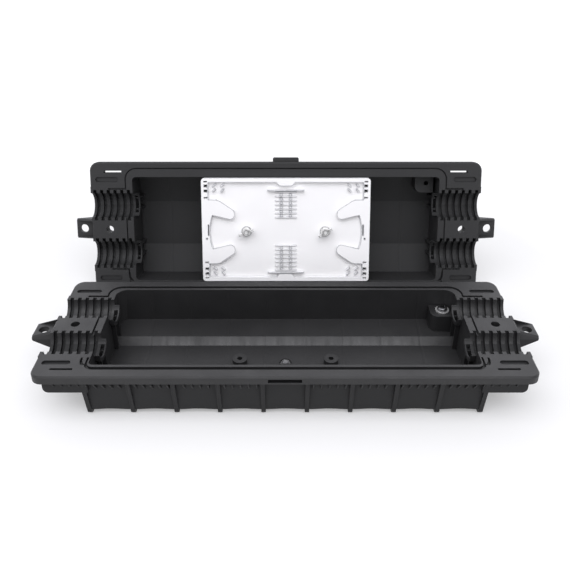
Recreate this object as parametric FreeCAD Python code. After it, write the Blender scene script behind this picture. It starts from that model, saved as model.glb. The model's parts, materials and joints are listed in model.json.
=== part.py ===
import FreeCAD, Part
import math
import os

vector = FreeCAD.Vector

# All sizes are in millimetres. Each shell half is drawn with its mouth up and its parting plane at z = 0.

# Shell halves, overall
shell_length = 365.0
shell_width = 127.0
shell_depth = 45.0
flange_thickness = 6.5
flange_corner = 8.5
flange_edge_bevel = 1.2
rim_width = 13.9
end_rim_length = 39.2

# Walls of the tub
flange_overhang = 8.0
wall_lean = 3.5
apron_thickness = 3.0
apron_round = 1.4
apron_arch_rise = 1.4
end_wall = 5.0
cavity_draft = 1.0
floor_thickness = 3.0
floor_rise = 3.1
slope_rise = 7.9
slope_break_rise = 5.2
slope_break_half = 27.4
floor_half = 21.5
riser_wall = 1.8
mouth_corner_large = 9.0
mouth_corner_small = 3.5

# Ribs around the tub, which are also its feet
rib_count = 10
rib_pitch = 32.6
rib_thickness = 3.2
rib_setback = 4.0
rib_foot_setback = 11.6
foot_height = 4.0
foot_round = 4.0

# Small gussets under the flange, between the ribs
tick_pitch = 5.87
tick_thickness = 1.2
tick_setback = 3.5
tick_drop = 4.0
tick_depth = 21.6
tick_start = 14.7
tick_end_gap = 10.5
tick_rib_gap = 0.5

# Cable ports, two at each end, each half round in one shell half
port_spacing = 46.0
port_radius = 11.5
port_groove_count = 6
port_groove_pitch = 6.25
port_groove_width = 3.0
port_groove_depth = 3.0
port_groove_start = 3.9
port_wall = 3.0

# Skirt under the flange around the ports
skirt_overhang = 5.5
skirt_depth = 18.9
skirt_setback = 6.5
skirt_wall = 2.2
skirt_corner = 4.0

# Closing bolt bosses between the ports, and the hanging tabs beyond them
bolt_inset = 16.5
bolt_radius = 3.5
bolt_boss_radius = 7.0
bolt_boss_depth = 12.0
tab_length = 16.1
tab_half_width = 9.3
tab_top_drop = 0.8
tab_tip_drop = 5.5
tab_tip_thickness = 3.5
tab_root_depth = 17.5
tab_corner = 1.5
tab_bevel = 1.5
tab_rim = 1.8
tab_pocket_depth = 5.2
tab_plate = 4.8
tab_hole_inset = 6.9
tab_hole_radius = 4.0

# Seal groove of the lower half and seal line of the upper half
seal_groove_offset = 8.4
seal_groove_width = 3.1
seal_groove_depth = 2.2
seal_end_gap = 5.3
seal_end_width = 1.6
seal_corner = 11.0
seal_line_offset = 5.3
seal_line_width = 1.2
seal_line_depth = 1.5
seal_jog_half = 39.5
seal_jog_width = 2.4
seal_jog_inset = 16.5
seal_hook_gap = 0.8
seal_hook_corner = 6.2
seal_hook_end = 41.0
seal_crescent_low = 50.0
seal_crescent_high = 41.5
line_jog_half = 38.5

# Corner pads: a pill-shaped recess and a thin slot
pill_inset = 5.0
pill_length = 21.0
pill_width = 4.8
pill_depth = 1.6
pill_end_flat = 0.02
pill_edge_offset = 16.3
slot_inset = 13.1
slot_length = 16.4
slot_width = 2.0
slot_edge_offset = 9.0

# Finger notch of the lower half and pull tab of the upper half, at mid-length
grip_half_width = 12.1
grip_projection = 4.0
grip_thickness = 3.2
grip_corner = 1.5
notch_depth = 7.0
notch_drop = 2.3
notch_height = 3.0

# Cable tie loops at the inner ends of the ports, and the ribs below them
bracket_reach = 4.2
bracket_root = 1.5
bracket_wall = 3.0
bracket_half_width = 10.5
bracket_bar = 1.2
bracket_slot_half_width = 8.0
gusset_reach = 3.5
gusset_top = 12.0
gusset_thickness = 1.6
gusset_spacing = 11.0

# Floor bosses, moulding gate and ground post
boss_spacing = 74.0
boss_radius = 5.9
boss_height = 5.3
field_offset = 1.7
boss_hole_depth = 5.0
gate_radius = 5.0
gate_height = 0.7
post_length = 17.6
post_reach = 16.6
post_end_gap = 2.3
post_drop = 16.0
post_corner = 6.0
post_hole_depth = 12.0
screw_end_gap = 9.3
screw_wall_clearance = 0.6

# Splice tray
tray_length = 157.2
tray_side_clearance = 0.6
tray_height = 5.6
tray_floor = 1.8
tray_wall = 3.6
tray_end_rim = 6.4
tray_corner = 3.0
tray_inner_corner = 1.0
tray_rim_rise = 5.0
tongue_thickness = 1.2
land_half_width = 30.5
land_reach = 14.0
land_arc_reach = 7.4
land_arc_half_width = 16.0
land_arc_bow = 2.6
tongue_shoulder_reach = 17.0
tongue_shoulder_half_width = 29.5
tongue_tip_reach = 31.0
tongue_tip_half_width = 15.4
tongue_tip_radius = 4.6
tongue_root_reach = 10.0
tie_slot_offsets = (2.5, 5.9, 10.6, 17.5)
tie_slot_widths = (1.3, 2.5, 2.5, 1.3)
tie_slot_length = 3.2
tie_slot_inset = 4.0
latch_slot_length = 10.5
latch_slot_width = 0.8
latch_slot_inset = 6.2
latch_slot_shift = 1.9
latch_hole_length = 1.6
latch_hole_width = 1.2
latch_hole_inset = 4.4
latch_hole_drop = 8.3
peg_radius = 1.2
peg_sides = 8
entry_bar_length = 4.2
entry_bar_width = 1.2
entry_bar_insets = (11.7, 19.3)
entry_bar_edge_offsets = (6.9, 11.5)
entry_bar_height = 3.2

# Splice rows of the tray
splice_edge_room = 4.4
splice_pitch = 3.95
splice_first_row = 15.5
splice_peg_spacing = 8.6
splice_peg_height = 3.4
splice_ridge_width = 0.9
splice_ridge_height = 1.4
splice_ridge_half = 10.0
stop_bar_half = 17.0
stop_bar_width = 0.9
centre_tongue_root_half = 9.0
centre_tongue_tip_half = 7.2
centre_tongue_reach = 5.4
centre_tongue_corner = 3.5

# Tray hardware
stud_radius = 2.0
stud_projection = 2.0
thread_clearance = 0.05
spacer_radius = 4.0
sleeve_clearance = 0.2
washer_radius = 4.75
washer_thickness = 0.8
nut_face_clearance = 0.05
nut_base_radius = 4.0
nut_top_radius = 3.2
nut_height = 4.8
wing_half_span = 7.3
wing_thickness = 1.8
wing_foot_rise = 1.0
wing_tip_rise = 3.4
wing_top = 9.0
wing_inner_reach = 4.2
wing_round = 1.6
wing_turn_left = 20.0
wing_turn_right = 32.0

# Ground screw
ground_shank_length = 9.0
ground_head_radius = 4.2
ground_head_height = 2.8
ground_head_bevel = 1.0
ground_washer_radius = 6.0
ground_washer_thickness = 1.0

# Distance on the bench between the halves
bench_gap = 44.3

# Sizes that follow from the ones above
half_length = shell_length / 2
half_width = shell_width / 2
mouth_half_length = half_length - end_rim_length
mouth_half_width = half_width - rim_width
end_wall_x = mouth_half_length + end_wall
tub_bottom = foot_height - shell_depth
floor_level = tub_bottom + floor_rise
slope_level = floor_level + slope_rise
break_level = floor_level + slope_break_rise
rib_start = -(rib_count - 1) * rib_pitch / 2
wall_half_width = half_width - flange_overhang
port_y = port_spacing / 2
port_groove_radius = port_radius + port_groove_depth
port_outer_radius = port_groove_radius + port_wall
bolt_x = half_length - bolt_inset
tab_hole_x = half_length + tab_length - tab_hole_inset
boss_x = boss_spacing / 2
boss_level = floor_level + boss_height
washer_room = ground_washer_radius + screw_wall_clearance
post_y = mouth_half_width - cavity_draft - washer_room
loop_edge_y = port_y + bracket_half_width
post_x = mouth_half_length - screw_end_gap - max(0, washer_room - (post_y - loop_edge_y))
tray_width = 2 * (mouth_half_width - tray_side_clearance)
tray_back = tray_rim_rise - tray_height
splice_field = tray_width / 2 - tray_wall - splice_edge_room - field_offset - splice_first_row
splice_rows = int(splice_field / splice_pitch)
washer_level = tray_back + tray_floor
nut_level = washer_level + washer_thickness + nut_face_clearance


def axis_point(axis, first, second, along):
    if axis == "x":
        return vector(along, first, second)
    if axis == "y":
        return vector(first, along, second)
    return vector(first, second, along)


def rounded_wire(corners, axis, along):
    """Closed wire through (first, second, radius) corners, in the plane across the axis."""
    points = [vector(first, second, 0) for first, second, radius in corners]
    spans = []
    for index, (first, second, radius) in enumerate(corners):
        corner = points[index]
        back = (points[index - 1] - corner).normalize()
        ahead = (points[(index + 1) % len(points)] - corner).normalize()
        half_angle = back.getAngle(ahead) / 2
        reach = radius / math.tan(half_angle)
        bisector = (back + ahead).normalize() if radius else vector(0, 0, 0)
        middle = corner + bisector * (radius / math.sin(half_angle) - radius)
        spans.append((corner + back * reach, middle, corner + ahead * reach, radius))
    edges = []
    for index, (start, middle, end, radius) in enumerate(spans):
        places = [axis_point(axis, point.x, point.y, along) for point in (start, middle, end)]
        following = spans[(index + 1) % len(spans)][0]
        next_start = axis_point(axis, following.x, following.y, along)
        if radius:
            edges.append(Part.Arc(*places).toShape())
        if places[2].distanceToPoint(next_start) > 1e-6:
            edges.append(Part.makeLine(places[2], next_start))
    return Part.Wire(edges)


def prism(corners, axis, start, end):
    face = Part.Face(rounded_wire(corners, axis, start))
    return face.extrude(axis_point(axis, 0, 0, end - start))


def rectangle(first_low, first_high, second_low, second_high, radius=0.0):
    return [
        (first_low, second_low, radius),
        (first_high, second_low, radius),
        (first_high, second_high, radius),
        (first_low, second_high, radius),
    ]


def mirrored(half):
    """Outline symmetric in its first coordinate, from its positive half."""
    return half + [(-first, second, radius) for first, second, radius in reversed(half)]


def box(x_low, x_high, y_low, y_high, z_low, z_high):
    return Part.makeBox(x_high - x_low, y_high - y_low, z_high - z_low, vector(x_low, y_low, z_low))


def rod(radius, x, y, z_low, z_high):
    return Part.makeCylinder(radius, z_high - z_low, vector(x, y, z_low))


def lying_rod(radius, y, x_low, x_high):
    return Part.makeCylinder(radius, x_high - x_low, vector(x_low, y, 0), vector(1, 0, 0))


def both_ends(shapes):
    """The shapes of the +X end, with their mirror images at the other end."""
    return shapes + [shape.mirror(vector(0, 0, 0), vector(1, 0, 0)) for shape in shapes]


def both_sides(shapes):
    """The shapes of the +Y side, with their mirror images at the other side."""
    return shapes + [shape.mirror(vector(0, 0, 0), vector(0, 1, 0)) for shape in shapes]


def half_ring(outer_half_x, outer_half_y, side_x, side_y, corner, depth):
    """Groove around the mouth: side_x wide at the ends, side_y wide along the sides."""
    inner_corner = corner - min(side_x, side_y)
    outer = rectangle(-outer_half_x, outer_half_x, -outer_half_y, outer_half_y, corner)
    inner_x = outer_half_x - side_x
    inner_y = outer_half_y - side_y
    inner = rectangle(-inner_x, inner_x, -inner_y, inner_y, inner_corner)
    return prism(outer, "z", -depth, 0).cut(prism(inner, "z", -depth, 0))


def flange():
    outline = rectangle(-half_length, half_length, -half_width, half_width, flange_corner)
    plate = prism(outline, "z", -flange_thickness, 0)
    top_edges = [edge for edge in plate.Edges if edge.BoundBox.ZMin > -flange_edge_bevel]
    return plate.makeChamfer(flange_edge_bevel, top_edges)


def rib_middles():
    return [rib_start + index * rib_pitch for index in range(rib_count)]


def floor_line(stepped):
    """Floor inwards from its slope: over a riser in one half, straight down in the other."""
    riser = [(slope_break_half, break_level)] if stepped else []
    return riser + [(floor_half, floor_level)]


def tub(stepped):
    """Outside of the tub: side walls that run down past its floor, arched between the ribs."""
    apron_y = wall_half_width - wall_lean
    half = [
        (wall_half_width, -flange_thickness, 0),
        (apron_y, tub_bottom, apron_round),
        (apron_y - apron_thickness, tub_bottom, 0),
        (apron_y - apron_thickness, slope_level - floor_thickness, 0),
    ]
    half += [(y + riser_wall, level - floor_thickness, 0) for y, level in floor_line(stepped)]
    body = prism(mirrored(half), "x", -end_wall_x, end_wall_x)
    arch_half = (rib_pitch - rib_thickness) / 2
    arch_radius = (arch_half**2 + apron_arch_rise**2) / (2 * apron_arch_rise)
    arch_start = slope_break_half + riser_wall
    arch_level = tub_bottom + apron_arch_rise - arch_radius
    arches = []
    for middle in rib_middles()[:-1]:
        centre = vector(middle + rib_pitch / 2, arch_start, arch_level)
        arches.append(Part.makeCylinder(arch_radius, half_width, centre, vector(0, 1, 0)))
    return body.cut(both_sides(arches))


def ribs():
    half = [
        (half_width - rib_setback, -flange_thickness, 0),
        (half_width - rib_foot_setback, -shell_depth, foot_round),
    ]
    starts = [middle - rib_thickness / 2 for middle in rib_middles()]
    return [prism(mirrored(half), "x", start, start + rib_thickness) for start in starts]


def ticks():
    """Small gussets under the flange of the +X, +Y quarter, left out where a rib stands."""
    wall_y = wall_half_width - wall_lean
    skirt_y = half_width - skirt_overhang - skirt_wall / 2
    outer = half_width - tick_setback
    outer_level = -flange_thickness - tick_drop
    slope = (outer_level + tick_depth) / (outer - wall_y)
    apart = (rib_thickness + tick_thickness) / 2 + tick_rib_gap
    pieces = []
    x = tick_start
    while x < half_length - tick_end_gap:
        if min(abs(x - middle) for middle in rib_middles()) > apart:
            inner = skirt_y if x > end_wall_x else wall_y
            profile = [
                (inner, -flange_thickness / 2, 0),
                (outer, -flange_thickness / 2, 0),
                (outer, outer_level, 0),
                (inner, outer_level - slope * (outer - inner), 0),
            ]
            pieces.append(prism(profile, "x", x - tick_thickness / 2, x + tick_thickness / 2))
        x += tick_pitch
    return pieces


def port_pipes(radius, x_low, x_high):
    """Half pipes of the two ports at the +X end, below the parting plane."""
    below = box(x_low, x_high, -half_width, half_width, -shell_depth, 0)
    return [lying_rod(radius, y, x_low, x_high).common(below) for y in (-port_y, port_y)]


def bolt_boss():
    return rod(bolt_boss_radius, bolt_x, 0, -bolt_boss_depth, 0)


def skirt():
    """Open box under the flange at the +X end, around the half pipes of the ports."""
    out_y = half_width - skirt_overhang
    out_x = half_length - skirt_setback
    profile = [
        (mouth_half_length, -flange_thickness, 0),
        (mouth_half_length, -skirt_depth, 0),
        (out_x, -skirt_depth, skirt_corner),
        (out_x, -flange_thickness, 0),
    ]
    block = prism(profile, "y", -out_y, out_y)
    in_x = out_x - skirt_wall
    in_y = out_y - skirt_wall
    pocket = box(end_wall_x, in_x, -in_y, in_y, -shell_depth, -flange_thickness)
    return block.cut(pocket)


def hanging_tab():
    """Sloping tab, sunk between its side rims on top and hollow below its plate."""
    root = half_length - tab_corner
    tip = half_length + tab_length
    profile = [
        (root, -tab_top_drop, 0),
        (root, -tab_root_depth, 0),
        (half_length, -tab_root_depth, 0),
        (tip, -tab_tip_drop - tab_tip_thickness, tab_corner),
        (tip, -tab_tip_drop, 0),
        (half_length, -tab_top_drop, 0),
    ]
    tab = prism(profile, "y", -tab_half_width, tab_half_width)
    top_edges = []
    for edge in tab.Edges:
        bounds = edge.BoundBox
        along = bounds.XLength > tab_length / 2
        if along and bounds.XMax > tip - tab_corner and bounds.ZMax > -tab_tip_drop:
            top_edges.append(edge)
    tab = tab.makeChamfer(tab_bevel, top_edges)
    inside = tab_half_width - tab_rim
    pocket = box(half_length, tip, -inside, inside, -tab_pocket_depth, 0)
    hollow_top = -tab_pocket_depth - tab_plate
    hollow = box(root, tip - tab_rim, -inside, inside, -tab_root_depth, hollow_top)
    return tab.cut([pocket, hollow])


def cavity(far_corner, stepped):
    """Space inside the tub. far_corner is the radius of the mouth's corners on the +Y side."""
    half = [
        (mouth_half_width, 0, 0),
        (mouth_half_width - cavity_draft, slope_level, 0),
    ]
    half += [(y, level, 0) for y, level in floor_line(stepped)]
    section = prism(mirrored(half), "x", -mouth_half_length, mouth_half_length)
    plan = [
        (-mouth_half_length, mouth_half_width, far_corner),
        (mouth_half_length, mouth_half_width, far_corner),
        (mouth_half_length, -mouth_half_width, mouth_corner_small),
        (-mouth_half_length, -mouth_half_width, mouth_corner_small),
    ]
    return section.common(prism(plan, "z", -shell_depth, 0))


def port_bores():
    """Lands and grooves of the two ports at the +X end."""
    cuts = []
    for y in (-port_y, port_y):
        cuts.append(lying_rod(port_radius, y, mouth_half_length - bracket_reach, half_length))
        for index in range(port_groove_count):
            middle = mouth_half_length + port_groove_start + index * port_groove_pitch
            low = middle - port_groove_width / 2
            cuts.append(lying_rod(port_groove_radius, y, low, low + port_groove_width))
    return cuts


def pad_recess():
    """Pill recess of the pad at the +X, +Y corner."""
    pill_y = half_width - pill_edge_offset
    pill_end = half_length - pill_inset
    pill = rectangle(
        pill_end - pill_length,
        pill_end,
        pill_y - pill_width / 2,
        pill_y + pill_width / 2,
        (pill_width - pill_end_flat) / 2,
    )
    return prism(pill, "z", -pill_depth, 0)


def pad_slots(side):
    """Thin slots of the two pads on one long side."""
    slot_y = side * (half_width - slot_edge_offset)
    slot_end = half_length - slot_inset
    slot = box(
        slot_end - slot_length,
        slot_end,
        slot_y - slot_width / 2,
        slot_y + slot_width / 2,
        -flange_thickness,
        0,
    )
    return both_ends([slot])


def brackets(outside):
    """Cable tie loop at the inner end of each port of the +X end, and the two ribs below it."""
    pieces = []
    inner = mouth_half_length - bracket_reach
    root = mouth_half_length + bracket_root
    for y in (-port_y, port_y):
        trough = lying_rod(port_radius + bracket_wall, y, inner, root)
        sides = box(inner, root, y - bracket_half_width, y + bracket_half_width, -shell_depth, 0)
        bore = lying_rod(port_radius, y, inner, root)
        slot = box(
            inner + bracket_bar,
            mouth_half_length,
            y - bracket_slot_half_width,
            y + bracket_slot_half_width,
            -shell_depth,
            0,
        )
        pieces.append(trough.common(sides).cut([bore, slot]))
        for middle in (y - gusset_spacing / 2, y + gusset_spacing / 2):
            low = middle - gusset_thickness / 2
            reach = mouth_half_length - gusset_reach
            gusset = box(reach, root, low, low + gusset_thickness, -shell_depth, -gusset_top)
            pieces.append(gusset.common(outside))
    return pieces


def floor_fittings(outside):
    """Bosses, moulding gate and corner post that stand on the floor."""
    below = floor_level - floor_thickness / 2
    bosses = [rod(boss_radius, x, -field_offset, below, boss_level) for x in (-boss_x, boss_x)]
    gate = rod(gate_radius, 0, -field_offset, below, floor_level + gate_height)
    x_high = mouth_half_length - post_end_gap
    x_low = x_high - post_length
    y_low = mouth_half_width - post_reach
    outline = [
        (x_low, y_low, post_corner),
        (x_high, y_low, 0),
        (x_high, wall_half_width - wall_lean, 0),
        (x_low, wall_half_width - wall_lean, 0),
    ]
    post = prism(outline, "z", -shell_depth, -post_drop)
    return bosses + [gate, post.common(outside)]


def fitting_holes():
    seat_radius = stud_radius + thread_clearance
    bottom = boss_level - boss_hole_depth
    holes = [rod(seat_radius, x, -field_offset, bottom, boss_level) for x in (-boss_x, boss_x)]
    post_hole = rod(seat_radius, post_x, post_y, -post_drop - post_hole_depth, -post_drop)
    return holes + [post_hole]


def shell(far_corner, stepped, face_cuts):
    """One moulded half, with the cuts of its own in the parting face."""
    pipes = port_pipes(port_outer_radius, mouth_half_length, half_length)
    end_pieces = pipes + [skirt(), bolt_boss(), hanging_tab()] + both_sides(ticks())
    outside = tub(stepped)
    body = flange().fuse([outside] + ribs() + both_ends(end_pieces))
    bolt_hole = rod(bolt_radius, bolt_x, 0, -bolt_boss_depth, 0)
    tab_hole = rod(tab_hole_radius, tab_hole_x, 0, -tab_root_depth, 0)
    end_cuts = port_bores() + [bolt_hole, tab_hole] + both_sides([pad_recess()])
    body = body.cut([cavity(far_corner, stepped)] + both_ends(end_cuts) + face_cuts)
    body = body.fuse(both_ends(brackets(outside)) + floor_fittings(outside))
    return body.cut(fitting_holes()).removeSplitter()


def across(y_low, y_high):
    """Strip of the parting face over the whole length."""
    reach = half_length + tab_length
    return box(-reach, reach, y_low, y_high, -flange_thickness, 0)


def seal_ring():
    """Groove around the whole mouth, from which each half takes its own lengths."""
    return half_ring(
        mouth_half_length + seal_end_gap + seal_end_width,
        half_width - seal_groove_offset,
        seal_end_width,
        seal_groove_width,
        seal_corner,
        seal_groove_depth,
    )


def lower_shell():
    """Half with the seal groove: hooked round the mouth's near corners, stepped at the far ones."""
    end_x = mouth_half_length + seal_end_gap
    jog_low = seal_jog_half - seal_jog_width / 2
    near = across(-half_width, -seal_crescent_low)
    ring = seal_ring().cut([near, across(-seal_crescent_high, -port_y), across(port_y, jog_low)])
    jog = box(end_x, half_length - seal_jog_inset, jog_low, jog_low + seal_jog_width, -seal_groove_depth, 0)
    hook = half_ring(
        mouth_half_length + seal_hook_gap + seal_end_width,
        half_width - seal_groove_offset,
        seal_end_width,
        seal_groove_width,
        seal_hook_corner,
        seal_groove_depth,
    )
    hook = hook.common(across(-half_width, -seal_hook_end))
    notch = box(
        -grip_half_width,
        grip_half_width,
        -half_width,
        notch_depth - half_width,
        -notch_drop - notch_height,
        -notch_drop,
    )
    return shell(mouth_corner_large, True, [ring, hook, notch] + both_ends([jog]) + pad_slots(-1))


def upper_shell():
    """Half with the fine seal line, two short grooves beside its lower ports, and the pull tab."""
    end_x = mouth_half_length + seal_end_gap + seal_end_width
    line = half_ring(
        end_x,
        half_width - seal_line_offset,
        seal_line_width,
        seal_line_width,
        seal_corner,
        seal_line_depth,
    )
    jog_low = line_jog_half - seal_line_width / 2
    crescent_band = across(-seal_crescent_low, -seal_crescent_high)
    crescents = seal_ring().common(crescent_band)
    line = line.cut(both_sides([across(port_y, jog_low)]) + [crescent_band])
    jog = box(
        end_x - seal_line_width,
        half_length - seal_jog_inset,
        jog_low,
        jog_low + seal_line_width,
        -seal_line_depth,
        0,
    )
    outline = [
        (grip_half_width, half_width - rim_width / 2, 0),
        (grip_half_width, half_width + grip_projection, grip_corner),
    ]
    tab = prism(mirrored(outline), "z", -flange_thickness, grip_thickness - flange_thickness)
    jogs = both_ends(both_sides([jog]))
    cuts = [line, crescents] + jogs + pad_slots(1)
    return shell(mouth_corner_small, False, cuts).fuse(tab).removeSplitter()


def tray_land():
    """Raised land of the +X end with its two fibre-retaining tongues, as a plan outline."""
    end = tray_length / 2
    arc_x = end - land_arc_reach
    land_x = end - land_reach
    block = prism(rectangle(land_x, end - tray_wall, 0, land_half_width), "z", 0, tray_height)
    lobe = [
        (end - tongue_root_reach, land_arc_half_width, 0),
        (end - tongue_tip_reach, tongue_tip_half_width - tongue_tip_radius, tongue_tip_radius),
        (end - tongue_tip_reach, tongue_tip_half_width + tongue_tip_radius, tongue_tip_radius),
        (end - tongue_shoulder_reach, tongue_shoulder_half_width, 0),
        (end - land_reach, land_half_width, 0),
    ]
    hollow_radius = (land_arc_half_width**2 + land_arc_bow**2) / (2 * land_arc_bow)
    hollow = rod(hollow_radius, arc_x - hollow_radius, 0, tray_floor, tray_height)
    tongue = prism(lobe, "z", tray_height - tongue_thickness, tray_height)
    tongues = both_sides([tongue])
    return both_sides([block]), hollow, tongues


def peg(x, y, height):
    """Faceted peg that stands on the tray's floor."""
    step = 2 * math.pi / peg_sides
    angles = [step * (index + 0.5) for index in range(peg_sides)]
    outline = [(x + peg_radius * math.cos(angle), y + peg_radius * math.sin(angle), 0) for angle in angles]
    return prism(outline, "z", tray_floor / 2, tray_floor + height)


def entry_bar(x, y):
    """Short bar on the tray's floor, slanted across the fibre entry of the +X, +Y corner."""
    along = entry_bar_length / 2 * math.sqrt(0.5)
    sideways = entry_bar_width / 2 * math.sqrt(0.5)
    outline = [
        (x + along + sideways, y - along + sideways, 0),
        (x - along + sideways, y + along + sideways, 0),
        (x - along - sideways, y + along - sideways, 0),
        (x + along - sideways, y - along - sideways, 0),
    ]
    return prism(outline, "z", tray_floor / 2, tray_floor + entry_bar_height)


def splice_rows_at(side):
    """Pegs, ridges and stop bars of the splice rows on one side of the tray's middle."""
    pieces = []
    base = tray_floor / 2
    for row in range(splice_rows):
        y = side * (splice_first_row + row * splice_pitch)
        for x in (-splice_peg_spacing / 2, splice_peg_spacing / 2):
            pieces.append(peg(x, y, splice_peg_height))
    for row in range(splice_rows + 1):
        y = side * (splice_first_row + (row - 0.5) * splice_pitch)
        low = y - splice_ridge_width / 2
        top = tray_floor + splice_ridge_height
        high = low + splice_ridge_width
        pieces.append(box(-splice_ridge_half, splice_ridge_half, low, high, base, top))
    bar_y = side * (splice_first_row + splice_rows * splice_pitch)
    low = bar_y - stop_bar_width / 2
    pieces.append(box(-stop_bar_half, stop_bar_half, low, low + stop_bar_width, base, tray_height))
    return pieces


def tie_slots():
    """Slots through the tray's end rim at the +X, +Y corner."""
    low = tray_length / 2 - tie_slot_inset - tie_slot_length / 2
    cuts = []
    for offset, width in zip(tie_slot_offsets, tie_slot_widths):
        y_high = tray_width / 2 - offset
        cuts.append(box(low, low + tie_slot_length, y_high - width, y_high, 0, tray_height))
    return cuts


def latch_cuts():
    """Long slot in the land of the +X end, and the small hole below it."""
    slot_x = tray_length / 2 - latch_slot_inset - latch_slot_width / 2
    slot_y = latch_slot_shift - latch_slot_length / 2
    slot = box(slot_x, slot_x + latch_slot_width, slot_y, slot_y + latch_slot_length, 0, tray_height)
    hole_x = tray_length / 2 - latch_hole_inset - latch_hole_width / 2
    hole_y = latch_slot_shift - latch_hole_drop - latch_hole_length / 2
    hole = box(hole_x, hole_x + latch_hole_width, hole_y, hole_y + latch_hole_length, 0, tray_height)
    return [slot, hole]


def shifted(shapes):
    """The shapes of the tray's field, set off from the middle as the studs are."""
    for shape in shapes:
        shape.translate(vector(0, -field_offset, 0))
    return shapes


def splice_tray():
    half_x = tray_length / 2
    half_y = tray_width / 2
    outer = prism(rectangle(-half_x, half_x, -half_y, half_y, tray_corner), "z", 0, tray_height)
    inner_x = half_x - tray_end_rim
    inner_y = half_y - tray_wall
    inner = rectangle(-inner_x, inner_x, -inner_y, inner_y, tray_inner_corner)
    dish = outer.cut(prism(inner, "z", tray_floor, tray_height))
    blocks, bend, tongues = tray_land()
    tongue_y = half_y - tray_wall / 2
    centre_outline = [
        (centre_tongue_root_half, tongue_y, 0),
        (centre_tongue_tip_half, tongue_y - centre_tongue_reach, centre_tongue_corner),
    ]
    centre = prism(mirrored(centre_outline), "z", tray_height - tongue_thickness, tray_height)
    bars = []
    for inset in entry_bar_insets:
        for offset in entry_bar_edge_offsets:
            bars.append(entry_bar(half_x - inset, half_y - offset))
    lands = [block.cut(bend) for block in blocks]
    field = both_ends(lands + tongues) + splice_rows_at(1) + splice_rows_at(-1)
    dish = dish.fuse(shifted(field) + both_ends(both_sides(bars)) + both_sides([centre]))
    hole = rod(stud_radius + sleeve_clearance, boss_x, 0, 0, tray_floor)
    field_cuts = shifted([hole] + latch_cuts())
    return dish.cut(both_ends(both_sides(tie_slots()) + field_cuts)).removeSplitter()


def tube(outer_radius, inner_radius, x, z_low, z_high):
    bore = rod(inner_radius, x, -field_offset, z_low, z_high)
    return rod(outer_radius, x, -field_offset, z_low, z_high).cut(bore)


def tray_stud(x):
    top = nut_level + nut_height + stud_projection
    return rod(stud_radius, x, -field_offset, boss_level - boss_hole_depth, top)


def tray_spacer(x):
    return tube(spacer_radius, stud_radius + sleeve_clearance, x, boss_level, tray_back)


def tray_washer(x):
    top = washer_level + washer_thickness
    return tube(washer_radius, stud_radius + sleeve_clearance, x, washer_level, top)


def wing_nut(x, turn):
    """Tapered hub with two rising wings, turned about its stud."""
    hub = Part.makeCone(nut_base_radius, nut_top_radius, nut_height)
    half = [
        (0, wing_foot_rise, 0),
        (nut_base_radius, wing_foot_rise, 0),
        (wing_half_span, wing_tip_rise, wing_round),
        (wing_half_span, wing_top, wing_round),
        (wing_inner_reach, wing_top, wing_round),
        (nut_top_radius, nut_height, 0),
        (0, nut_height, 0),
    ]
    wing = prism(half, "y", -wing_thickness / 2, wing_thickness / 2)
    other = wing.mirror(vector(0, 0, 0), vector(1, 0, 0))
    bore = rod(stud_radius + thread_clearance, 0, 0, 0, wing_top)
    nut = hub.fuse([wing, other]).cut(bore).removeSplitter()
    nut.rotate(vector(0, 0, 0), vector(0, 0, 1), turn)
    nut.translate(vector(x, -field_offset, nut_level))
    return nut


def ground_washer():
    level = -post_drop
    top = level + ground_washer_thickness
    hole = rod(stud_radius + sleeve_clearance, post_x, post_y, level, top)
    return rod(ground_washer_radius, post_x, post_y, level, top).cut(hole)


def ground_screw():
    seat = ground_washer_thickness - post_drop
    head = rod(ground_head_radius, post_x, post_y, seat, seat + ground_head_height)
    top_edges = [edge for edge in head.Edges if edge.BoundBox.ZMin > seat]
    head = head.makeChamfer(ground_head_bevel, top_edges)
    return head.fuse(rod(stud_radius, post_x, post_y, seat - ground_shank_length, seat)).removeSplitter()


def lean_angle():
    """Lean, in radians, of a half that stands on its flange edge and on its rounded rib feet."""
    rise = shell_depth - flange_thickness
    slant = math.atan2(rib_foot_setback - rib_setback, rise)
    foot_reach = foot_round / math.tan((math.pi / 2 + slant) / 2)
    foot_y = -(half_width - rib_foot_setback - foot_reach)
    foot_z = foot_round - shell_depth
    across = -half_width - foot_y
    up = -flange_thickness - foot_z
    return math.atan2(up, across) - math.acos(-foot_round / math.hypot(across, up))


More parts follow.
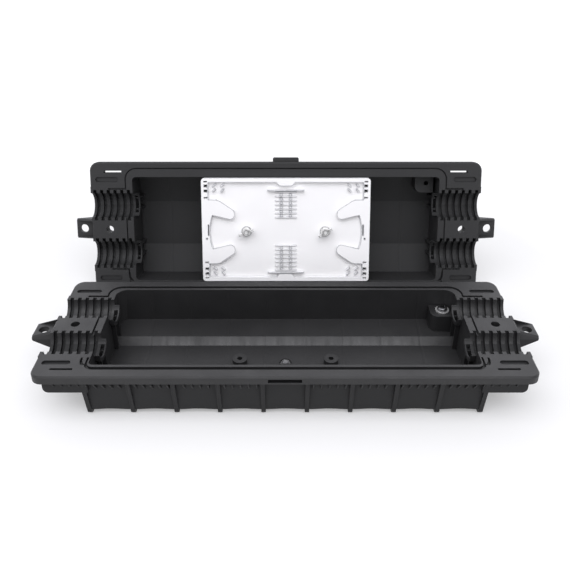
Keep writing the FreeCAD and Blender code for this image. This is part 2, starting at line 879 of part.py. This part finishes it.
def main():
    lean = lean_angle()
    standing_height = half_width * math.cos(lean) + flange_thickness * math.sin(lean)
    standing_y = half_width + bench_gap + half_width * math.sin(lean)
    lying = FreeCAD.Placement(vector(0, 0, shell_depth), FreeCAD.Rotation())
    turn = FreeCAD.Rotation(vector(1, 0, 0), 90 - math.degrees(lean))
    standing = FreeCAD.Placement(vector(0, standing_y, standing_height), turn)
    tray = splice_tray()
    tray.translate(vector(0, 0, tray_back))
    lower_pieces = {
        "lower_shell": lower_shell(),
        "ground_washer": ground_washer(),
        "ground_screw": ground_screw(),
    }
    upper_pieces = {
        "upper_shell": upper_shell(),
        "splice_tray": tray,
    }
    for side, x, wing_turn in (("left", -boss_x, wing_turn_left), ("right", boss_x, wing_turn_right)):
        upper_pieces["tray_stud_" + side] = tray_stud(x)
        upper_pieces["tray_spacer_" + side] = tray_spacer(x)
        upper_pieces["tray_washer_" + side] = tray_washer(x)
        upper_pieces["wing_nut_" + side] = wing_nut(x, wing_turn)
    placed = {}
    for name, shape in lower_pieces.items():
        placed[name] = shape.transformed(lying.toMatrix(), True)
    for name, shape in upper_pieces.items():
        placed[name] = shape.transformed(standing.toMatrix(), True)
    bounds = Part.makeCompound(list(placed.values())).BoundBox
    centring = vector(0, -(bounds.YMin + bounds.YMax) / 2, 0)
    os.makedirs("parts", exist_ok=True)
    for name, shape in placed.items():
        shape.translate(centring)
        shape.exportStep("parts/" + name + ".step")
    print("lean", round(math.degrees(lean), 6), "centring", round(centring.y, 6))
    print("standing", round(standing_y + centring.y, 6), round(standing_height, 6))


main()
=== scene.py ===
import json
import math
import bpy
import bmesh
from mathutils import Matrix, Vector


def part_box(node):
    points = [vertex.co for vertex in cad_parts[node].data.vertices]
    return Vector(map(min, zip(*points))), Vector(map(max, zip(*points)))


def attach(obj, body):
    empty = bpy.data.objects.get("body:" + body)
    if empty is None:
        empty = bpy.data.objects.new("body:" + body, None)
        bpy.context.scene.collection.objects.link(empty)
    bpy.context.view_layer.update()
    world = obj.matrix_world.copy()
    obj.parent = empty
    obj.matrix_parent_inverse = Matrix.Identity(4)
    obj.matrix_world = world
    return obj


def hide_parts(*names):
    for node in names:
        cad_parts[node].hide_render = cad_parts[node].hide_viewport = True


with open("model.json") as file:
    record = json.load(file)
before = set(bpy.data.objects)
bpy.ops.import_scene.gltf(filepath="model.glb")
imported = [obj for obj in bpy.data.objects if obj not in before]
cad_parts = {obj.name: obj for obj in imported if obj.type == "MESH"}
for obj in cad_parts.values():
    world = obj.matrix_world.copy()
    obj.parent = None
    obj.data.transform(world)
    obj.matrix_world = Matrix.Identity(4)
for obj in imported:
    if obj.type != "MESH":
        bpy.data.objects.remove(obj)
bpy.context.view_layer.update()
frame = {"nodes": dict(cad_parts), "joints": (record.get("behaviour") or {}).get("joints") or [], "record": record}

scene = bpy.context.scene
nodes = frame["nodes"]
joints = {joint["name"]: joint for joint in frame["joints"]}
mm = 0.001
lengthways = (1, 0, 0)
backwards = (0, 1, 0)
upright = (0, 0, 1)
outward = Vector(joints["left_nut_turn"]["axis"]).normalized()  # out of the standing half's mouth
upward = Vector((0, outward.z, -outward.y))  # up along the standing half's mouth
nutSeat = Vector(joints["left_nut_turn"]["pos_m"])
print("frame loaded:", len(nodes), "nodes")


# shader helpers
def feed(tree, socket, value):
    if isinstance(value, bpy.types.NodeSocket):
        tree.links.new(value, socket)
    else:
        socket.default_value = value


def addNode(tree, kind, inputs=None, **settings):
    node = tree.nodes.new(kind)
    for key, value in settings.items():
        setattr(node, key, value)
    for key, value in (inputs or {}).items():
        feed(tree, node.inputs[key], value)
    return node


def newMaterial(name):
    material = bpy.data.materials.new(name)
    material.use_nodes = True
    tree = material.node_tree
    place = addNode(tree, "ShaderNodeTexCoord").outputs["Object"]
    return material, tree, tree.nodes["Principled BSDF"], place


def reckon(tree, operation, first, second=0.0):
    return addNode(tree, "ShaderNodeMath", {0: first, 1: second}, operation=operation).outputs[0]


def product(tree, first, *others):
    for other in others:
        first = reckon(tree, "MULTIPLY", first, other)
    return first


def spread(tree, value, fromLow, fromHigh, toLow=0.0, toHigh=1.0):
    values = {"Value": value, "From Min": fromLow, "From Max": fromHigh, "To Min": toLow, "To Max": toHigh}
    return addNode(tree, "ShaderNodeMapRange", values).outputs["Result"]


def either(tree, switch, off, on):
    return spread(tree, switch, 0.0, 1.0, off, on)


def mixColour(tree, amount, first, second):
    mix = addNode(tree, "ShaderNodeMix", data_type="RGBA")
    for index, value in ((0, amount), (6, first), (7, second)):  # the colour sockets share their names
        feed(tree, mix.inputs[index], value)
    return mix.outputs[2]


def noise(tree, place, pattern):
    values = {"Vector": place, "Scale": pattern["scale"], "Detail": pattern["detail"]}
    values["Roughness"] = pattern.get("harshness", 0.5)
    return addNode(tree, "ShaderNodeTexNoise", values).outputs["Fac"]


def mottle(tree, place, pattern):
    return spread(tree, noise(tree, place, pattern), *pattern["range"], *pattern["to"])


def relief(tree, height, depth, **others):
    values = {"Height": height, "Distance": depth, **others}
    return addNode(tree, "ShaderNodeBump", values).outputs["Normal"]


def along(tree, place, direction, start=0.0):
    ends = {0: place, 1: direction}
    reach = addNode(tree, "ShaderNodeVectorMath", ends, operation="DOT_PRODUCT").outputs["Value"]
    return reckon(tree, "SUBTRACT", reach, start)


def offMiddle(tree, place, direction, middle=0.0):
    return reckon(tree, "ABSOLUTE", along(tree, place, direction, middle))


def flatNormal(tree):
    return addNode(tree, "ShaderNodeNewGeometry").outputs["True Normal"]


def softNormal(tree, radius, samples=6):
    return addNode(tree, "ShaderNodeBevel", {"Radius": radius}, samples=samples).outputs["Normal"]


def edgeShare(tree, soft, turn):
    return spread(tree, along(tree, soft, flatNormal(tree)), *turn)


# share of painted shade, from how hidden a point is among nearby surfaces
def hiddenShare(tree, creviceShade):
    reach = {"Distance": creviceShade["reach"]}
    nearby = addNode(tree, "ShaderNodeAmbientOcclusion", reach, samples=creviceShade["samples"])
    return spread(tree, nearby.outputs["AO"], *creviceShade["openness"])


def backgroundRays(tree):
    ray = addNode(tree, "ShaderNodeLightPath").outputs
    seen = reckon(tree, "MAXIMUM", ray["Is Camera Ray"], ray["Is Glossy Ray"])
    return ray["Is Camera Ray"], reckon(tree, "MAXIMUM", seen, ray["Is Transmission Ray"])


# mesh helpers
def closeRings(shape, rings):
    for lower, upper in zip(rings, rings[1:]):
        for step in range(len(lower)):
            after = (step + 1) % len(lower)
            shape.faces.new((lower[step], lower[after], upper[after], upper[step]))
    shape.faces.new(rings[0])
    shape.faces.new(rings[-1])


def turnedShape(foot, profile, sides):
    shape = bmesh.new()
    rings = []
    for radius, height in profile:
        ring = []
        for step in range(sides):
            angle = 2.0 * math.pi * step / sides
            spoke = Vector((radius * math.cos(angle), radius * math.sin(angle), height))
            ring.append(shape.verts.new(foot + spoke))
        rings.append(ring)
    closeRings(shape, rings)
    return shape


def addPiece(name, shape, node, material, body):
    bmesh.ops.recalc_face_normals(shape, faces=shape.faces)
    mesh = bpy.data.meshes.new(name)
    shape.to_mesh(mesh)
    shape.free()
    mesh.materials.append(material)
    piece = bpy.data.objects.new(name, mesh)
    scene.collection.objects.link(piece)
    if node:
        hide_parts(node)
    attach(piece, body)
    return piece


# black moulded shells: grained, with faint sink marks opposite the ribs
shellLook = {
    "colour": (0.0114, 0.0113, 0.0119, 1),
    "paler": (0.0167, 0.0166, 0.0172, 1),
    "cloud": {"scale": 18.0, "detail": 4.0, "range": (0.35, 0.65), "to": (0.0, 1.0)},
    "haze": {"scale": 60.0, "detail": 3.0, "range": (0.3, 0.7), "to": (0.47, 0.57)},  # roughness
    "lyingMiddle": -60.33 * mm,
    "halvesMeet": 10.0 * mm,  # the lying half is in front of this
    # edges painted lighter in patches: a painted highlight where rounded edges catch light
    "edge": {
        "radius": 0.45 * mm,
        "turn": (0.99, 0.75),  # agreement of the soft and the flat normal, from face to edge
        "colour": (0.0195, 0.0198, 0.0208, 1),
        "glintPatches": {"scale": 90.0, "detail": 3.0, "range": (0.35, 0.65), "to": (0.2, 0.9)},
    },
    # painted shade: a darker colour where the surface is hidden in crevices and recesses
    "creviceShade": {
        "colour": (0.004, 0.004, 0.0043, 1),
        "reach": 2.2 * mm,
        "samples": 6,
        "openness": (0.72, 0.35),  # from open to hidden
        "roughness": 0.9,
    },
    "outside": {  # below the flange the outside is coarser, and its darker colour is painted shade
        "top": 37.0 * mm,  # on the lying half
        "front": -10.0 * mm,  # on the standing half, from the nuts' seat
        "slack": 0.5 * mm,
        "colour": (0.0085, 0.0086, 0.0091, 1),
        "share": 0.85,
        "roughness": 0.74,
    },
    "standing": {  # the standing half is duller, and its greyer colour is painted light
        "colour": (0.0185, 0.0187, 0.0195, 1),
        "share": 0.75,
        "roughness": 0.67,
    },
    "polish": {  # the lying half's riser is smoother towards its foot
        "outer": 27.6 * mm,
        "inner": 21.4 * mm,
        "slack": 0.3 * mm,
        "floor": 7.3 * mm,  # just above the cavity's floor
        "inward": (0.25, 1.0),
        "streak": {"scale": 2.4, "detail": 6.0, "harshness": 0.75, "range": (0.35, 0.65), "to": (0.1, 1.0)},
        "endFade": (132 * mm, 98 * mm),
        "ends": (-0.35, 1.0),
        "gain": 0.34,
    },
    "sink": {
        "ribPitch": 32.6 * mm,
        "share": 0.06,  # half width of a sink mark, in rib pitches
        "depth": 0.18 * mm,
        "top": 42.0 * mm,  # the rims have no sink marks
        "front": -5.0 * mm,
    },
    "flow": {  # streaks across the length, where the melt ran
        "stretch": (90.0, 7.0, 7.0),
        "scale": 1.0,
        "detail": 3.0,
        "depth": 0.12 * mm,
    },
    "grain": {"scale": 1500.0, "detail": 2.0, "harshness": 0.6, "depth": 0.045 * mm},
}


def riserPolish(tree, place, drawn):
    zone = shellLook["polish"]
    off = offMiddle(tree, place, backwards, shellLook["lyingMiddle"])
    inward = spread(tree, off, zone["outer"], zone["inner"], *zone["inward"])
    within = reckon(tree, "LESS_THAN", off, zone["outer"])
    beyond = reckon(tree, "GREATER_THAN", off, zone["inner"] - zone["slack"])
    above = reckon(tree, "GREATER_THAN", along(tree, place, upright), zone["floor"])
    ends = spread(tree, offMiddle(tree, place, lengthways), *zone["endFade"], *zone["ends"])
    streak = mottle(tree, drawn, zone["streak"])
    return product(tree, within, beyond, above, ends, inward, streak)


def lowPart(tree, place, lying, zone):
    lyingLow = reckon(tree, "LESS_THAN", along(tree, place, upright), zone["top"])
    rise = along(tree, place, outward, nutSeat.dot(outward))
    standingLow = reckon(tree, "LESS_THAN", rise, zone["front"])
    return either(tree, lying, standingLow, lyingLow)


def outsideFaces(tree, place, lying):
    zone = shellLook["outside"]
    facing = flatNormal(tree)
    lyingOff = along(tree, place, backwards, shellLook["lyingMiddle"])
    lyingSide = product(tree, along(tree, facing, backwards), lyingOff)
    standingOff = along(tree, place, upward, nutSeat.dot(upward))
    standingSide = product(tree, along(tree, facing, upward), standingOff)
    side = either(tree, lying, standingSide, lyingSide)  # above zero where a wall faces outwards
    faced = reckon(tree, "GREATER_THAN", side, zone["slack"])
    return product(tree, lowPart(tree, place, lying, zone), faced)


def sinkMarks(tree, place):
    sink = shellLook["sink"]
    share = reckon(tree, "FRACT", reckon(tree, "DIVIDE", along(tree, place, lengthways), sink["ribPitch"]))
    offRib = reckon(tree, "ABSOLUTE", reckon(tree, "SUBTRACT", share, 0.5))
    values = {"Value": offRib, "From Max": sink["share"]}
    return addNode(tree, "ShaderNodeMapRange", values, interpolation_type="SMOOTHSTEP").outputs["Result"]


def shellPlastic():
    look = shellLook
    edge = look["edge"]
    creviceShade = look["creviceShade"]
    outer = look["outside"]
    standing = look["standing"]
    material, tree, shader, place = newMaterial("shellPlastic")
    stretch = {0: place, 1: look["flow"]["stretch"]}
    drawn = addNode(tree, "ShaderNodeVectorMath", stretch, operation="MULTIPLY").outputs["Vector"]
    lying = reckon(tree, "LESS_THAN", along(tree, place, backwards), look["halvesMeet"])
    outside = outsideFaces(tree, place, lying)
    hidden = hiddenShare(tree, creviceShade)
    soft = softNormal(tree, edge["radius"])
    edgeGlint = product(tree, edgeShare(tree, soft, edge["turn"]), mottle(tree, place, edge["glintPatches"]))

    colour = mixColour(tree, mottle(tree, place, look["cloud"]), look["colour"], look["paler"])
    # painted light: the standing half gets a paler copy of the same black
    colour = mixColour(tree, either(tree, lying, standing["share"], 0.0), colour, standing["colour"])
    # painted shade on the outside walls below the flange
    colour = mixColour(tree, product(tree, outside, outer["share"]), colour, outer["colour"])
    # painted highlight along the edges, in patches
    colour = mixColour(tree, edgeGlint, colour, edge["colour"])
    # painted shade in crevices and recesses
    feed(tree, shader.inputs["Base Color"], mixColour(tree, hidden, colour, creviceShade["colour"]))

    smoother = product(tree, riserPolish(tree, place, drawn), look["polish"]["gain"])
    rough = reckon(tree, "SUBTRACT", mottle(tree, place, look["haze"]), smoother)
    rough = reckon(tree, "MAXIMUM", rough, product(tree, hidden, creviceShade["roughness"]))
    rough = reckon(tree, "MAXIMUM", rough, product(tree, outside, outer["roughness"]))
    rough = reckon(tree, "MAXIMUM", rough, either(tree, lying, standing["roughness"], 0.0))
    feed(tree, shader.inputs["Roughness"], rough)

    inside = lowPart(tree, place, lying, look["sink"])
    marked = relief(tree, sinkMarks(tree, place), look["sink"]["depth"], Strength=inside, Normal=soft)
    marked = relief(tree, noise(tree, drawn, look["flow"]), look["flow"]["depth"], Normal=marked)
    marked = relief(tree, noise(tree, place, look["grain"]), look["grain"]["depth"], Normal=marked)
    feed(tree, shader.inputs["Normal"], marked)
    return material


# white splice tray and the natural plastic of the spacers
paleFinish = {
    "cloud": {"scale": 40.0, "detail": 3.0, "range": (0.35, 0.65), "to": (0.0, 1.0)},
    # patches in the painted edge shade
    "edgeShadeMottle": {"scale": 150.0, "detail": 3.0, "range": (0.35, 0.65), "to": (0.7, 1.0)},
    "gloss": {"scale": 200.0, "detail": 2.0, "range": (0.3, 0.7), "to": (0.34, 0.46)},  # roughness
    "grain": {"scale": 1200.0, "detail": 2.0, "depth": 0.01 * mm},
    "edgeTurn": (0.999, 0.97),
    "ridgeRise": (0.8 * mm, 1.2 * mm),  # the painted edge shade is weaker on low ridges
    "ridgeShade": (0.35, 1.0),
    "trayMiddle": 1.7 * mm,  # above the studs
    "borderX": 74.0 * mm,  # beyond these is the tray's outer rim, where the painted edge shade is weaker too
    "borderY": 44.3 * mm,
    "borderShade": 0.3,
}
trayLook = {
    "colour": (0.955, 0.948, 0.95, 1),
    "paler": (0.97, 0.965, 0.965, 1),
    # painted shade in crevices and corners
    "creviceShade": {
        "colour": (0.48, 0.49, 0.51, 1),
        "reach": 1.3 * mm,
        "samples": 8,
        "openness": (0.85, 0.35),
    },
    # grey of the painted shade lines along the edges
    "edgeShadeColour": (0.26, 0.27, 0.29, 1),
    "edgeReach": 1.2 * mm,
    "edgeRadius": 0.25 * mm,
}
spacerLook = {
    "colour": (0.62, 0.60, 0.54, 1),
    "paler": (0.72, 0.70, 0.64, 1),
    # painted shade in crevices and corners
    "creviceShade": {
        "colour": (0.40, 0.38, 0.33, 1),
        "reach": 1.5 * mm,
        "samples": 8,
        "openness": (0.85, 0.35),
    },
    # colour of the painted shade lines along the edges
    "edgeShadeColour": (0.50, 0.48, 0.43, 1),
    "edgeReach": 0.5 * mm,
    "edgeRadius": 0.2 * mm,
}


# painted shade: thin grey lines along the edges, in patches, weaker on low ridges and on the outer rim
def shadedEdgeLines(tree, place, reach):
    look = paleFinish
    edge = edgeShare(tree, softNormal(tree, reach), look["edgeTurn"])
    rise = along(tree, place, outward, nutSeat.dot(outward))
    raised = spread(tree, rise, *look["ridgeRise"], *look["ridgeShade"])
    middle = nutSeat.dot(upward) + look["trayMiddle"]
    overX = reckon(tree, "GREATER_THAN", offMiddle(tree, place, lengthways), look["borderX"])
    overY = reckon(tree, "GREATER_THAN", offMiddle(tree, place, upward, middle), look["borderY"])
    border = either(tree, reckon(tree, "MAXIMUM", overX, overY), 1.0, look["borderShade"])
    return product(tree, edge, mottle(tree, place, look["edgeShadeMottle"]), raised, border)


def palePlastic(name, look):
    material, tree, shader, place = newMaterial(name)
    colour = mixColour(tree, mottle(tree, place, paleFinish["cloud"]), look["colour"], look["paler"])
    # painted shade lines along the edges
    colour = mixColour(tree, shadedEdgeLines(tree, place, look["edgeReach"]), colour, look["edgeShadeColour"])
    # painted shade where the surface is hidden among nearby surfaces
    colour = mixColour(tree, hiddenShare(tree, look["creviceShade"]), colour, look["creviceShade"]["colour"])
    feed(tree, shader.inputs["Base Color"], colour)
    feed(tree, shader.inputs["Roughness"], mottle(tree, place, paleFinish["gloss"]))
    grain = paleFinish["grain"]
    soft = softNormal(tree, look["edgeRadius"])
    grained = relief(tree, noise(tree, place, grain), grain["depth"], Normal=soft)
    feed(tree, shader.inputs["Normal"], grained)
    return material


# bright zinc on the studs, washers and nuts, and the darker steel of the ground screw
metalFinish = {
    "cloud": {"scale": 300.0, "detail": 4.0, "range": (0.3, 0.7), "to": (0.0, 1.0)},
    "grain": {"scale": 2500.0, "detail": 2.0, "depth": 0.006 * mm},
    "edgeTurn": (0.997, 0.93),
}
zincLook = {
    "colour": (0.84, 0.84, 0.83, 1),
    "paler": (0.93, 0.93, 0.92, 1),
    # painted shade: dark in crevices and along the edges
    "creviceShade": {
        "colour": (0.04, 0.04, 0.04, 1),
        "reach": 1.6 * mm,
        "samples": 8,
        "openness": (0.75, 0.40),
    },
    "metallic": 0.75,
    "edgeRadius": 0.6 * mm,
    "gloss": {"scale": 700.0, "detail": 3.0, "range": (0.3, 0.7), "to": (0.22, 0.36)},  # roughness
}
steelLook = {
    "colour": (0.13, 0.13, 0.135, 1),
    "paler": (0.22, 0.22, 0.225, 1),
    # painted shade: dark in crevices and along the edges
    "creviceShade": {
        "colour": (0.02, 0.02, 0.02, 1),
        "reach": 1.0 * mm,
        "samples": 8,
        "openness": (0.75, 0.40),
    },
    "metallic": 1.0,
    "edgeRadius": 0.25 * mm,
    "gloss": {"scale": 700.0, "detail": 3.0, "range": (0.3, 0.7), "to": (0.24, 0.36)},
}


def platedMetal(name, look):
    material, tree, shader, place = newMaterial(name)
    shader.inputs["Metallic"].default_value = look["metallic"]
    soft = softNormal(tree, look["edgeRadius"])
    edge = edgeShare(tree, soft, metalFinish["edgeTurn"])
    # painted shade in crevices and dark lines along the edges
    hidden = reckon(tree, "MAXIMUM", hiddenShare(tree, look["creviceShade"]), edge)
    colour = mixColour(tree, mottle(tree, place, metalFinish["cloud"]), look["colour"], look["paler"])
    feed(tree, shader.inputs["Base Color"], mixColour(tree, hidden, colour, look["creviceShade"]["colour"]))
    feed(tree, shader.inputs["Roughness"], mottle(tree, place, look["gloss"]))
    grain = metalFinish["grain"]
    grained = relief(tree, noise(tree, place, grain), grain["depth"], Normal=soft)
    feed(tree, shader.inputs["Normal"], grained)
    return material


finishes = {
    "shell_black": shellPlastic(),
    "tray_white": palePlastic("trayPlastic", trayLook),
    "spacer_plastic": palePlastic("spacerPlastic", spacerLook),
    "zinc_steel": platedMetal("zincPlate", zincLook),
}
for row in frame["record"]["subparts"]:
    piece = nodes[row["node"]]
    piece.data.materials.clear()
    piece.data.materials.append(finishes[row["material_slot"]])
print("finishes set")


# threaded studs in place of the plain rods
studLook = {"rootShare": 0.83, "pitch": 0.7 * mm, "sides": 28, "stepsPerPitch": 8}


def threadedStud(side):
    look = studLook
    node = "tray_stud_" + side
    joint = joints[side + "_nut_turn"]
    seat = Vector(joint["pos_m"])
    axis = Vector(joint["axis"]).normalized()
    across = axis.orthogonal().normalized()
    beside = axis.cross(across)
    corners = [vertex.co - seat for vertex in nodes[node].data.vertices]
    heights = [corner.dot(axis) for corner in corners]
    low, high = min(heights), max(heights)
    crest = max((corner - axis * corner.dot(axis)).length for corner in corners)
    root = crest * look["rootShare"]
    rows = int((high - low) / look["pitch"] * look["stepsPerPitch"])
    shape = bmesh.new()
    rings = []
    for row in range(rows + 1):
        height = low + (high - low) * row / rows
        tip = root + min(height - low, high - height)  # both ends are bevelled
        ring = []
        for step in range(look["sides"]):
            phase = (height / look["pitch"] - step / look["sides"]) % 1.0
            radius = min(root + (crest - root) * (1.0 - abs(2.0 * phase - 1.0)), tip)
            angle = 2.0 * math.pi * step / look["sides"]
            spoke = across * math.cos(angle) + beside * math.sin(angle)
            ring.append(shape.verts.new(seat + axis * height + spoke * radius))
        rings.append(ring)
    closeRings(shape, rings)
    addPiece("studThread" + side.capitalize(), shape, node, finishes["zinc_steel"], "root")


# pan-head ground screw with a cross recess
screwLook = {
    "sides": 48,
    "shoulderShare": 0.45,  # height of the head's upright side
    "domeSteps": 6,
    "domeShare": 0.42,  # how far the dome draws in, of the head's radius
    "shankBelow": 1.0 * mm,  # the shank is measured this far under the head
    "recessTurns": (30.0, 120.0),
    "recessReach": 2.5 * mm,
    "recessHalf": 0.62 * mm,
    "recessDepth": 1.5 * mm,
    "recessTaper": 0.55,
    "cutterRise": 0.2 * mm,
}


def groundScrew():
    look = screwLook
    low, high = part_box("ground_screw")
    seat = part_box("ground_washer")[1][2]
    middle = Vector(((low[0] + high[0]) / 2, (low[1] + high[1]) / 2, 0))
    headRadius = (high[0] - low[0]) / 2
    headHeight = high[2] - seat
    corners = [vertex.co for vertex in nodes["ground_screw"].data.vertices]
    shankCorners = [corner for corner in corners if corner.z < seat - look["shankBelow"]]
    shankRadius = max((corner - middle).xy.length for corner in shankCorners)
    shoulder = seat + headHeight * look["shoulderShare"]
    profile = [(shankRadius, low[2]), (shankRadius, seat), (headRadius, seat), (headRadius, shoulder)]
    for step in range(1, look["domeSteps"] + 1):
        angle = math.radians(90.0 * step / look["domeSteps"])
        inward = headRadius * look["domeShare"] * (1.0 - math.cos(angle))
        profile.append((headRadius - inward, shoulder + (high[2] - shoulder) * math.sin(angle)))
    shape = turnedShape(middle, profile, look["sides"])
    steel = platedMetal("screwSteel", steelLook)
    screw = addPiece("groundScrewHead", shape, "ground_screw", steel, "root")
    for turn in look["recessTurns"]:
        cutRecess(screw, Vector((middle.x, middle.y, high[2])), math.radians(turn))


def cutRecess(screw, top, angle):
    look = screwLook
    cutter = bmesh.new()
    bmesh.ops.create_cube(cutter, size=2.0)
    for vertex in cutter.verts:
        above = vertex.co.z > 0
        reach = vertex.co.x * look["recessReach"] * (1.0 if above else look["recessTaper"])
        breadth = vertex.co.y * look["recessHalf"]
        level = look["cutterRise"] if above else -look["recessDepth"]
        turnedX = reach * math.cos(angle) - breadth * math.sin(angle)
        turnedY = reach * math.sin(angle) + breadth * math.cos(angle)
        vertex.co = top + Vector((turnedX, turnedY, level))
    mesh = bpy.data.meshes.new("recessCutter")
    cutter.to_mesh(mesh)
    cutter.free()
    tool = bpy.data.objects.new("recessCutter", mesh)
    scene.collection.objects.link(tool)
    cut = screw.modifiers.new("recess", "BOOLEAN")
    cut.object = tool
    cut.operation = "DIFFERENCE"
    bpy.context.view_layer.update()
    result = bpy.data.meshes.new_from_object(screw.evaluated_get(bpy.context.evaluated_depsgraph_get()))
    screw.modifiers.clear()
    screw.data = result
    bpy.data.objects.remove(tool)
    bpy.data.meshes.remove(mesh)


# stub where the moulding gate was broken off, on the lying half's floor, with pale patches in its middle as
# painted highlight
stubLook = {
    "place": (0, -62.03 * mm, 7.8 * mm),
    "radii": (4.7, 4.6, 3.9, 2.9, 2.3, 1.5, 0.6),  # mm, from the foot to the hollow in the middle
    "heights": (0.0, 0.45, 1.0, 1.25, 1.05, 0.35, 0.25),
    "sides": 40,
    "colour": (0.006, 0.006, 0.0063, 1),
    # pale colour of the painted highlight patches
    "paintedHighlight": (0.17, 0.17, 0.175, 1),
    "paintedHighlightReach": (2.2 * mm, 3.7 * mm),  # the foot stays black
    "patches": {"scale": 260.0, "detail": 3.0, "range": (0.36, 0.60), "to": (0.15, 1.0)},
    "gloss": {"scale": 900.0, "detail": 2.0, "range": (0.3, 0.7), "to": (0.10, 0.22)},  # roughness
    "grain": {"scale": 300.0, "detail": 2.0, "depth": 0.10 * mm},
}


def stubPlastic():
    look = stubLook
    material, tree, shader, place = newMaterial("stubPlastic")
    ends = {0: place, 1: look["place"]}
    offset = addNode(tree, "ShaderNodeVectorMath", ends, operation="DISTANCE").outputs["Value"]
    middle = spread(tree, offset, *look["paintedHighlightReach"], 1.0, 0.0)
    # painted highlight: pale patches in the stub's middle
    patches = product(tree, mottle(tree, place, look["patches"]), middle)
    feed(tree, shader.inputs["Base Color"], mixColour(tree, patches, look["colour"], look["paintedHighlight"]))
    feed(tree, shader.inputs["Roughness"], mottle(tree, place, look["gloss"]))
    grain = look["grain"]
    feed(tree, shader.inputs["Normal"], relief(tree, noise(tree, place, grain), grain["depth"]))
    return material


def gateStub():
    look = stubLook
    profile = [(radius * mm, height * mm) for radius, height in zip(look["radii"], look["heights"])]
    shape = turnedShape(Vector(look["place"]), profile, look["sides"])
    addPiece("gateStub", shape, None, stubPlastic(), "root")


for side in ("left", "right"):
    threadedStud(side)
groundScrew()
gateStub()
print("fasteners and gate stub drawn")


# floor and world, white to the camera and to gloss
stageLook = {
    "floorColour": (0.62, 0.62, 0.62, 1),
    "floorRoughness": 0.9,
    "floorRadius": 9.0,
    "floorSides": 96,
    "glow": (0.30, 1.0),  # the floor's own white, near the object and far from it
    "glowReach": (0.30, 0.80),
    "white": (1, 1, 1, 1),
    "ambient": 0.77,
    "reflected": (0.955, 0.955, 1.0, 1),
    "openRoom": 0.66,  # white that gloss meets overhead and in front
    "backdrop": 2.05,  # white that gloss meets behind the object
    "backdropTop": (0.86, 0.70),  # rise of the direction where the backdrop ends, and where it is full
    "backdropSide": (-0.10, 0.25),
}


def studioFloor():
    look = stageLook
    mesh = bpy.data.meshes.new("studioFloor")
    shape = bmesh.new()
    bmesh.ops.create_circle(shape, cap_ends=True, segments=look["floorSides"], radius=look["floorRadius"])
    shape.to_mesh(mesh)
    shape.free()
    floor = bpy.data.objects.new("studioFloor", mesh)
    scene.collection.objects.link(floor)
    material, tree, shader, place = newMaterial("studioFloor")
    shader.inputs["Base Color"].default_value = look["floorColour"]
    shader.inputs["Roughness"].default_value = look["floorRoughness"]
    shader.inputs["Specular IOR Level"].default_value = 0.0
    shader.inputs["Emission Color"].default_value = look["white"]
    away = addNode(tree, "ShaderNodeVectorMath", {0: place}, operation="LENGTH").outputs["Value"]
    glow = spread(tree, away, *look["glowReach"], *look["glow"])
    feed(tree, shader.inputs["Emission Strength"], product(tree, backgroundRays(tree)[1], glow))
    mesh.materials.append(material)


def studioWorld():
    look = stageLook
    world = bpy.data.worlds.new("studioWorld")
    scene.world = world
    world.use_nodes = True
    tree = world.node_tree
    back = tree.nodes["Background"]
    direct, seen = backgroundRays(tree)
    feed(tree, back.inputs["Color"], mixColour(tree, direct, look["reflected"], look["white"]))
    toward = addNode(tree, "ShaderNodeTexCoord").outputs["Generated"]
    below = spread(tree, along(tree, toward, upright), *look["backdropTop"])
    behind = spread(tree, along(tree, toward, backwards), *look["backdropSide"])
    sky = either(tree, product(tree, below, behind), look["openRoom"], look["backdrop"])
    sky = either(tree, direct, sky, 1.0)
    feed(tree, back.inputs["Strength"], either(tree, seen, look["ambient"], sky))


# lamps and camera
lamps = {
    "overheadLamp": {
        "place": (-0.15, -0.68, 1.47),
        "aim": (0, 0, 0.05),
        "size": (2.2, 1.1),
        "watts": 19.5,
        "colour": (0.965, 0.965, 1.0),
    },
    "frontLamp": {
        "place": (0.5, -1.6, 1.1),
        "aim": (0, 0, 0.05),
        "size": (1.2, 1.2),
        "watts": 1.5,
        "colour": (1.0, 0.99, 0.97),
    },
}


def studioLamps():
    for name, lamp in lamps.items():
        light = bpy.data.lights.new(name, "AREA")
        light.shape = "RECTANGLE"
        light.size, light.size_y = lamp["size"]
        light.energy = lamp["watts"]
        light.color = lamp["colour"]
        holder = bpy.data.objects.new(name, light)
        place = Vector(lamp["place"])
        holder.location = place
        holder.rotation_euler = (Vector(lamp["aim"]) - place).to_track_quat("-Z", "Y").to_euler()
        scene.collection.objects.link(holder)


cameraSetup = {
    "place": (2.26 * mm, -492.43 * mm, 358.78 * mm),
    "pitchDown": 28.143,  # degrees below level
    "lens": 42.27,
    "sensor": 36.0,
    "shiftX": -0.00568,
    "shiftY": -0.09309,
    "clip": (0.01, 50.0),
}


def photoCamera():
    setup = cameraSetup
    camera = bpy.data.cameras.new("photoCamera")
    camera.lens = setup["lens"]
    camera.sensor_width = setup["sensor"]
    camera.shift_x = setup["shiftX"]
    camera.shift_y = setup["shiftY"]
    camera.clip_start, camera.clip_end = setup["clip"]
    holder = bpy.data.objects.new("photoCamera", camera)
    holder.location = setup["place"]
    holder.rotation_euler = (math.radians(90 - setup["pitchDown"]), 0, 0)
    scene.collection.objects.link(holder)
    scene.camera = holder


studioFloor()
studioWorld()
studioLamps()
photoCamera()
scene.view_settings.view_transform = "Standard"
print("stage set")
